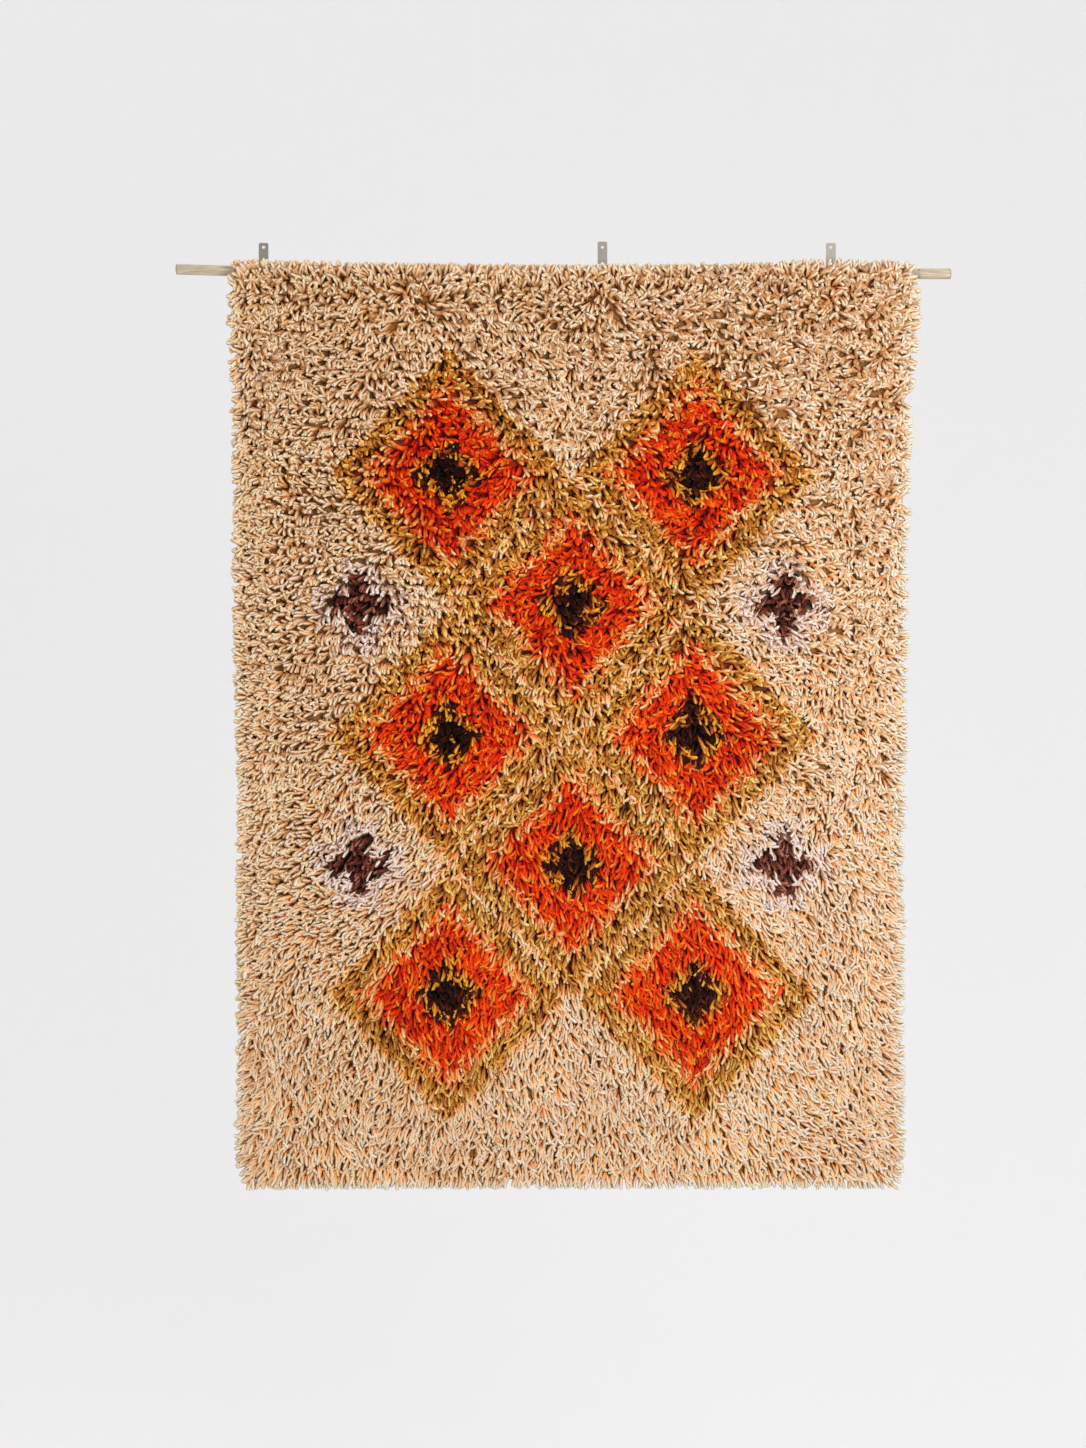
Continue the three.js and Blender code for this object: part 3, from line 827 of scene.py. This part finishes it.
def yarn_tones(x, z, seen, rng):
    """The linear colours of the points of each end, which get their zone from where the end is seen. They
    hold painted shade deep in the pile and on the inner sides, painted highlights at the tips, and painted
    light towards the lower right.
    """
    seen = seen + ZONE_BLEND * rng.normal(size=seen.shape)
    colours = yarn_colours(zone_at(seen[:, 0], seen[:, 2]), rng.uniform(0, 1, len(x)))
    spread, least, most = SHADES
    colours *= rng.normal(1.0, spread, (len(x), 1)).clip(least, most)
    strength, size, seed = PATCHES
    colours *= 1 + strength * soft_noise(x, z, size, seed)[:, None]
    colours *= np.minimum(1, BRIGHTEST / colours.max(1, keepdims=True))

    along = np.append(np.repeat(YARN_RINGS, YARN_SIDES), 1.0)
    light = smoothstep(along, *TONE_SPAN)
    # The inner sides of each end are painted darker: painted shade
    flank_shade = light * np.append(np.tile(YARN_SHADED_FLANKS, len(YARN_RINGS)), 0.0)
    lit = 1 - smoothstep(to_edge(x, z), *LIT_SPAN)[:, None, None]
    light = mix(light[None, :, None], 1, LIT_DEPTHS * lit)
    flank_shade = flank_shade[None, :, None] * (1 - LIT_FLANKS * lit)
    # Towards the lower right the tones are painted lighter and paler: painted light
    painted_light = painted_light_share(x, z)[:, None, None]
    colours = colours[:, None]
    # Deep in the pile the yarns are painted darker: painted shade
    deep = mix(*DEEP_SHADE_GLOW, painted_light) * colours ** mix(*DEEP_SHADE_POWER, painted_light)
    tip_colour = colours ** mix(*TIP_POWER, painted_light)
    # The tips are painted pale towards their ends: painted highlight
    tip = mix(*TIP_GLOW, painted_light) * tip_colour * (1 + light ** 3 * mix(*TIP_HIGHLIGHT, painted_light) * (1 - tip_colour))
    tones = mix(deep, tip, light) * mix(1.0, mix(*FLANK_SHADE, painted_light), flank_shade)
    return tones.clip(0, BRIGHTEST)


def make_band(number, x, z, material):
    """One band of the pile, with each end of yarn closed and apart from the others."""
    rng = np.random.default_rng(SEED + number)
    x, z = spread_ends(x, z, rng)
    path, tangent, turn = yarn_ends(x, z, rng)
    spread, least, most = THICKNESS
    thick = mix(*FLUFF, painted_light_share(x, z)) * rng.normal(1.0, spread, len(x)).clip(least, most)
    rings = yarn_rings(path, tangent, turn, thick)
    count = len(x)
    each = len(YARN_RINGS) * YARN_SIDES + 1
    vertices = np.concatenate([rings.reshape(count, each - 1, 3), path[:, -1:]], 1)
    template, places = yarn_template()
    faces = (np.arange(count)[:, None, None] * each + template).reshape(-1, 3)
    maps = yarn_maps(count, places, rng)
    tones = yarn_tones(x, z, path[:, 2], rng)
    return mesh_object(
        f"pile_{number + 1}", vertices.reshape(-1, 3), faces, material, tones.reshape(-1, 3), maps)


def make_pile(material):
    x, z = knots()
    bands = []
    for number, rows in enumerate(np.array_split(np.arange(ROWS), BANDS)):
        bands.append(make_band(number, x[rows].ravel(), z[rows].ravel(), material))
    return bands


# The ground cloth

def ground_columns():
    """Shares of the cloth's width at which its columns lie, with one at each side of every slit."""
    left, right = ground_across(np.array([0, 1]), GROUND_STRAIGHT_Z)
    slits = [bracket["x"] + hand * SLIT_WIDTH / 2 for bracket in BRACKETS for hand in (-1, 1)]
    shares = [(x - left) / (right - left) for x in slits]
    even = np.linspace(0, 1, GROUND_COLUMNS)
    even = [share for share in even if min(abs(share - slit) for slit in shares) > COLUMNS_APART]
    return np.array(sorted(even + shares))


def ground_across(share, z):
    """The x at a share of the cloth's width."""
    straight = np.minimum(z, GROUND_STRAIGHT_Z)
    left = left_edge(straight) + GROUND_INSET
    right = right_edge(straight) - GROUND_INSET
    return mix(left, right, share)


def ground_grid():
    """The middle of the cloth's thickness, row by row up the front, over the rod and down to the seam."""
    share = ground_columns()
    x = ground_across(share, GROUND_STRAIGHT_Z)
    bend = rod_z(x) - POCKET_FALL
    front_y = ground_back - GROUND / 2
    rows = []
    for step in range(GROUND_FRONT_STEPS + 1):
        z = mix(GROUND_BOTTOM, bend, step / GROUND_FRONT_STEPS)
        rows.append((np.full_like(x, front_y), z))
    reach = ROD_Y - front_y
    rise = rod_z(x) + pocket_radius + GROUND / 2 - bend
    for step in range(1, ARC_STEPS + 1):
        angle = math.pi / 2 * step / ARC_STEPS
        rows.append((np.full_like(x, ROD_Y - reach * math.cos(angle)), bend + rise * math.sin(angle)))
    radius = pocket_radius + GROUND / 2
    for step in range(1, ARC_STEPS + 1):
        angle = math.pi / 2 * step / ARC_STEPS
        y = ROD_Y + radius * math.sin(angle)
        rows.append((np.full_like(x, y), rod_z(x) + radius * math.cos(angle)))
    behind = ground_back + GROUND / 2 + SEAM_PLAY
    for y, z in [
        (ROD_Y + radius, POCKET_TURN_Z),
        (mix(ROD_Y + radius, behind, 0.5), mix(POCKET_TURN_Z, SEAM_TOP_Z, 0.5)),
        (behind, SEAM_TOP_Z),
        (behind, SLIT_BOTTOM_Z),
        (behind, SEAM_BOTTOM_Z),
    ]:
        rows.append((np.full_like(x, y), np.full_like(x, z)))
    y = np.array([row[0] for row in rows])
    z = np.array([row[1] for row in rows])
    x = ground_across(share[None], z)
    return x, y + sway(x, z), z


def ground_size(x, y, z):
    """The cloth's mean width and length before it was hung."""
    width = np.mean(x[:, -1] - x[:, 0])
    steps = np.hypot(np.diff(y, axis=0), np.diff(z, axis=0))
    return float(width), float(np.mean(np.sum(steps, 0)))


def make_ground(material):
    """The cloth with its slits, and how large it is when flat."""
    x, y, z = ground_grid()
    rows, columns = x.shape
    faces = grid_faces(rows, columns)
    slit_rows = (faces[:, 0] // columns >= GROUND_FRONT_STEPS) & (faces[:, 3] // columns <= rows - 2)
    middle = x.ravel()[faces].mean(1)
    in_slit = np.zeros(len(faces), bool)
    for bracket in BRACKETS:
        in_slit |= slit_rows & (np.abs(middle - bracket["x"]) < SLIT_WIDTH / 2)
    cloth = mesh_object("ground", np.stack([x, y, z], -1).reshape(-1, 3), faces[~in_slit], material)
    thicken = cloth.modifiers.new("thickness", "SOLIDIFY")
    thicken.thickness = GROUND
    thicken.offset = 0
    thicken.use_even_offset = True
    apply_modifiers(cloth)
    paint_ground(cloth.data)
    return cloth, ground_size(x, y, z)


def paint_ground(mesh):
    """The front has the pile's colours, in shade. The pocket and the back are bare linen."""
    count = len(mesh.vertices)
    place = np.zeros(count * 3, np.float32)
    mesh.vertices.foreach_get("co", place)
    place = place.reshape(-1, 3)
    normal = np.zeros(count * 3, np.float32)
    mesh.vertices.foreach_get("normal", normal)
    facing = normal.reshape(-1, 3)[:, 1]
    zones = zone_at(place[:, 0], place[:, 2])
    shaded = GROUND_GLOW * yarn_colours(zones, np.full(count, COMMONEST)) ** GROUND_POWER
    front = (facing < GROUND_FACING) & (place[:, 1] < ROD_Y)
    paint(mesh, np.where(front[:, None], shaded, linear(LINEN)))


# The back of the knots, which shows as dashes in rows

def dashes(name, x, y, z, half_width, half_height, rise, colours, material, tilt=0.0):
    """Small raised dashes of yarn on a back face, each with a ridge from end to end."""
    corners = []
    for across, up, height in [
        (-1, -1, -SEAT_GAP), (-1, 1, -SEAT_GAP), (-DASH_RIDGE, 0, rise),
        (1, -1, -SEAT_GAP), (1, 1, -SEAT_GAP), (DASH_RIDGE, 0, rise),
    ]:
        dx = across * half_width
        dz = up * half_height
        turned_x = dx * np.cos(tilt) - dz * np.sin(tilt)
        turned_z = dx * np.sin(tilt) + dz * np.cos(tilt)
        corners.append(np.stack([x + turned_x, y + height, z + turned_z], -1))
    each = len(corners)
    vertices = np.stack(corners, 1)
    ridge = np.array([
        (0, 2, 1), (3, 4, 5), (0, 1, 4), (0, 4, 3), (1, 2, 5), (1, 5, 4), (2, 0, 3), (2, 3, 5),
    ])
    faces = (np.arange(len(x))[:, None, None] * each + ridge).reshape(-1, 3)
    tones = np.repeat(colours[:, None], each, 1)
    return mesh_object(name, vertices.reshape(-1, 3), faces, material, tones.reshape(-1, 3))


def make_knot_backs(material):
    """The backs of the knots below the seam."""
    rng = np.random.default_rng(SEED + 50)
    x, z = knots()
    below = z < SEAM_BOTTOM_Z - BACKS_GAP
    x = x[below]
    z = z[below]
    colours = yarn_colours(zone_at(x, z), rng.uniform(0, 1, len(x)))
    colours = mix(colours, linear(LINEN), BACKS_LINEN) * rng.normal(*BACKS_SHADE, (len(x), 1))
    width = rng.uniform(*BACKS_HALF_WIDTH, len(x)) * MM
    height = rng.uniform(*BACKS_HALF_HEIGHT, len(x)) * MM
    y = ground_back + sway(x, z)
    tilt = rng.normal(0, BACKS_TILT, len(x))
    return dashes("knot_backs", x, y, z, width, height, BACKS_RISE, colours, material, tilt)


def make_seam_stitches(material):
    """Slanting stitches that hold the turned-over edge down."""
    rng = np.random.default_rng(SEED + 51)
    left = left_edge(STITCH_SPAN_Z) + STITCH_INSET
    right = right_edge(STITCH_SPAN_Z) - STITCH_INSET
    x = np.arange(left, right, STITCH_PITCH)
    to_slit = np.min([np.abs(x - bracket["x"]) for bracket in BRACKETS], 0) - SLIT_WIDTH / 2
    x = x[to_slit > STITCH_GAP]
    z = np.full_like(x, STITCH_Z) + rng.uniform(-STITCH_STRAY, STITCH_STRAY, len(x)) * MM
    y = np.full_like(x, ground_back + GROUND + SEAM_PLAY)
    colours = linear(STITCH_YARN) * rng.normal(1.0, STITCH_SHADES, (len(x), 1))
    return dashes(
        "seam_stitches", x, y, z, STITCH_HALF_WIDTH, STITCH_HALF_HEIGHT, STITCH_RISE, colours, material,
        STITCH_TILT)


# The rod

def rod_profile():
    """The rod's rings, as places along it and radii, with a rounded chamfer at each end."""
    quarter = np.linspace(0, math.pi / 2, ROD_CHAMFER_STEPS)
    chamfered = ROD_RADIUS - ROD_CHAMFER * (1 - np.sin(quarter))
    radius = np.concatenate([chamfered, np.full(ROD_STEPS - 1, ROD_RADIUS), chamfered[::-1]])
    inward = ROD_CHAMFER * (1 - np.cos(quarter))
    between = np.linspace(ROD_LEFT + ROD_CHAMFER, ROD_RIGHT - ROD_CHAMFER, ROD_STEPS + 1)[1:-1]
    return np.concatenate([ROD_LEFT + inward, between, ROD_RIGHT - inward[::-1]]), radius


def make_rod(material):
    """A slightly uneven stick."""
    x, radius = rod_profile()
    angle = 2 * math.pi * np.arange(ROD_SIDES) / ROD_SIDES
    phases = np.random.default_rng(SEED + 60).uniform(0, 6, len(ROD_WAVES))
    wave = np.zeros((len(x), ROD_SIDES))
    for (strength, turns, along), phase in zip(ROD_WAVES, phases):
        wave += strength * np.sin(turns * angle + phase + along * x[:, None])
    highest = sum(strength for strength, _, _ in ROD_WAVES)
    reach = radius[:, None] - ROD_UNEVEN * (1 - wave / highest)
    y = ROD_Y + reach * np.cos(angle)
    z = rod_z(x)[:, None] + reach * np.sin(angle)
    rings = np.stack([np.broadcast_to(x[:, None], y.shape), y, z], -1)
    faces = grid_faces(len(x), ROD_SIDES, closed=True)
    hub = len(x) * ROD_SIDES
    hubs = [(x[0], ROD_Y, rod_z(x[0])), (x[-1], ROD_Y, rod_z(x[-1]))]
    vertices = np.concatenate([rings.reshape(-1, 3), hubs])
    side = np.arange(ROD_SIDES)
    beside = (side + 1) % ROD_SIDES
    last_ring = hub - ROD_SIDES
    first = np.stack([beside, side, np.full(ROD_SIDES, hub)], -1)
    last = np.stack([last_ring + side, last_ring + beside, np.full(ROD_SIDES, hub + 1)], -1)
    halves = np.concatenate([faces[:, [0, 1, 2]], faces[:, [0, 2, 3]], first, last])[:, ::-1]
    return mesh_object("rod_wood", vertices, halves, material)


# The hooks

def hook_path(top, bend_z):
    """The middle of the strip, from its top down, round under the rod and up, with its normals."""
    radius = HOOK_INNER_RADIUS + STRIP_THICKNESS / 2
    down = [top - STRIP_CORNER_DROPS, np.linspace(top - STRIP_EVEN_DROP, bend_z, STRIP_STEPS)]
    points = [(-STRIP_THICKNESS / 2, z, 1.0, 0.0) for z in np.concatenate(down)]
    for step in range(1, HOOK_STEPS + 1):
        angle = math.pi * step / HOOK_STEPS
        out = (math.cos(angle), -math.sin(angle))
        points.append((ROD_Y + radius * out[0], bend_z + radius * out[1], *out))
    for step in range(1, HOOK_LIP_STEPS + 1):
        points.append((ROD_Y - radius, bend_z + HOOK_LIP * step / HOOK_LIP_STEPS, -1.0, 0.0))
    return np.array(points)


def strip_half_width(drop):
    """Half of the strip's width at a distance below its top, where its corners are round."""
    within = np.clip(STRIP_CORNER - drop, 0, STRIP_CORNER)
    return STRIP_WIDTH / 2 - STRIP_CORNER + np.sqrt(STRIP_CORNER ** 2 - within ** 2)


def cut_hole(strip, x, z):
    """A screw hole from front to back."""
    bpy.ops.mesh.primitive_cylinder_add(
        vertices=SCREW_HOLE_SIDES, radius=SCREW_HOLE_DIAMETER / 2, depth=6 * STRIP_THICKNESS,
        location=(x, -STRIP_THICKNESS / 2, z), rotation=(math.pi / 2, 0, 0))
    drill = bpy.context.object
    cut = strip.modifiers.new("hole", "BOOLEAN")
    cut.operation = "DIFFERENCE"
    cut.solver = "EXACT"
    cut.object = drill
    apply_modifiers(strip)
    bpy.data.objects.remove(drill)


def make_bracket(bracket, material):
    """A strip that runs along its path with softened edges, round top corners and two holes."""
    bend_z = float(rod_z(bracket["x"])) - ROD_RADIUS - SEAT_GAP + HOOK_INNER_RADIUS
    path = hook_path(bracket["top"], bend_z)
    half = strip_half_width(bracket["top"] - path[:, 1])
    half[path[:, 0] < -STRIP_THICKNESS] = STRIP_WIDTH / 2
    thick = STRIP_THICKNESS / 2
    soft = STRIP_EDGE
    ring = []
    for across, out, inset_x, inset_n in [
        (1, -1, soft, 0), (1, -1, 0, soft), (1, 1, 0, soft), (1, 1, soft, 0),
        (-1, 1, soft, 0), (-1, 1, 0, soft), (-1, -1, 0, soft), (-1, -1, soft, 0),
    ]:
        x = bracket["x"] + across * (half - inset_x)
        shift = out * (thick - inset_n)
        ring.append(np.stack([x, path[:, 0] + shift * path[:, 2], path[:, 1] + shift * path[:, 3]], -1))
    sides = len(ring)
    vertices = np.stack(ring, 1).reshape(-1, 3)
    faces = [tuple(face) for face in grid_faces(len(path), sides, closed=True)[:, ::-1]]
    mesh = bpy.data.meshes.new(bracket["name"] + "_strip")
    last = (len(path) - 1) * sides
    caps = [tuple(range(sides)), tuple(last + k for k in reversed(range(sides)))]
    mesh.from_pydata([tuple(v) for v in vertices], [], faces + caps)
    strip = bpy.data.objects.new(mesh.name, mesh)
    bpy.context.scene.collection.objects.link(strip)
    strip.data.materials.append(material)
    for z in SCREW_HOLES_Z:
        cut_hole(strip, bracket["x"], z)
    strip.data.shade_smooth()
    strip.data.set_sharp_from_angle(angle=math.radians(STRIP_CREASE))
    return strip


# The studio and the camera

def make_floor(material):
    """A pale floor whose rim curves up all round."""
    profile = [(FLOOR_RADIUS / 2, FLOOR_Z), (FLOOR_RADIUS, FLOOR_Z)]
    for step in range(1, RIM_STEPS + 1):
        angle = math.pi / 2 * step / RIM_STEPS
        out = FLOOR_RADIUS + RIM_RADIUS * math.sin(angle)
        profile.append((out, FLOOR_Z + RIM_HEIGHT * (1 - math.cos(angle))))
    side = np.arange(FLOOR_SIDES)
    around = 2 * math.pi * side / FLOOR_SIDES
    rings = [
        np.stack([radius * np.cos(around), radius * np.sin(around), np.full(FLOOR_SIDES, z)], -1)
        for radius, z in profile
    ]
    faces = grid_faces(len(rings), FLOOR_SIDES, closed=True)
    hub = len(rings) * FLOOR_SIDES
    disc = np.stack([np.full(FLOOR_SIDES, hub), side, (side + 1) % FLOOR_SIDES], -1)
    vertices = np.concatenate([*rings, [(0.0, 0.0, FLOOR_Z)]])
    halves = np.concatenate([faces[:, [0, 2, 1]], faces[:, [0, 3, 2]], disc])
    floor = mesh_object("studio_floor", vertices, halves, material)


def add_lamp(name, kind, place, target):
    """A lamp that shines from its place towards a target. Returns its settings."""
    data = bpy.data.lights.new(name, kind)
    lamp = bpy.data.objects.new(name, data)
    lamp.location = place
    lamp.rotation_euler = (Vector(target) - Vector(place)).to_track_quat("-Z", "Y").to_euler()
    bpy.context.scene.collection.objects.link(lamp)
    return data


def make_light():
    """Soft light from all round, a large lamp in front and a faint broad sun from above."""
    scene = bpy.context.scene
    scene.view_settings.view_transform = "Standard"
    world = bpy.data.worlds.new("studio")
    world.use_nodes = True
    background = world.node_tree.nodes["Background"]
    background.inputs["Color"].default_value = WORLD_COLOUR
    background.inputs["Strength"].default_value = WORLD_STRENGTH
    scene.world = world
    key = add_lamp("key", "AREA", KEY_PLACE, KEY_TARGET)
    key.shape = "DISK"
    key.size = KEY_SIZE
    key.energy = KEY_POWER
    top = add_lamp("top", "SUN", SUN_DIRECTION, (0, 0, 0))
    top.energy = SUN_STRENGTH
    top.angle = math.radians(SUN_WIDTH)


def make_camera():
    data = bpy.data.cameras.new("camera")
    data.sensor_width = SENSOR
    data.lens = SENSOR * CAMERA_DISTANCE / (IMAGE_HEIGHT * PIXEL)
    data.clip_end = CLIP_END
    camera = bpy.data.objects.new("camera", data)
    camera.location = (CAMERA_X, PILE_FRONT_Y - CAMERA_DISTANCE, CAMERA_Z)
    camera.rotation_euler = (math.pi / 2, 0, 0)
    bpy.context.scene.collection.objects.link(camera)
    bpy.context.scene.camera = camera


def main():
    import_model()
    make_camera()
    make_light()
    make_floor(make_floor_material())

    pile_wool = make_pile_material()
    ground_cloth = make_ground_material()
    bands = make_pile(pile_wool)
    ground, flat = make_ground(ground_cloth)
    on_cloth = bands + [make_knot_backs(ground_cloth), make_seam_stitches(ground_cloth)]
    for piece in [ground] + on_cloth:
        show(piece, "pile", "rug")

    show(make_rod(make_wood_material()), "rod", "rod")
    steel = make_steel_material()
    for bracket in BRACKETS:
        show(make_bracket(bracket, steel), "strip", bracket["name"])


main()
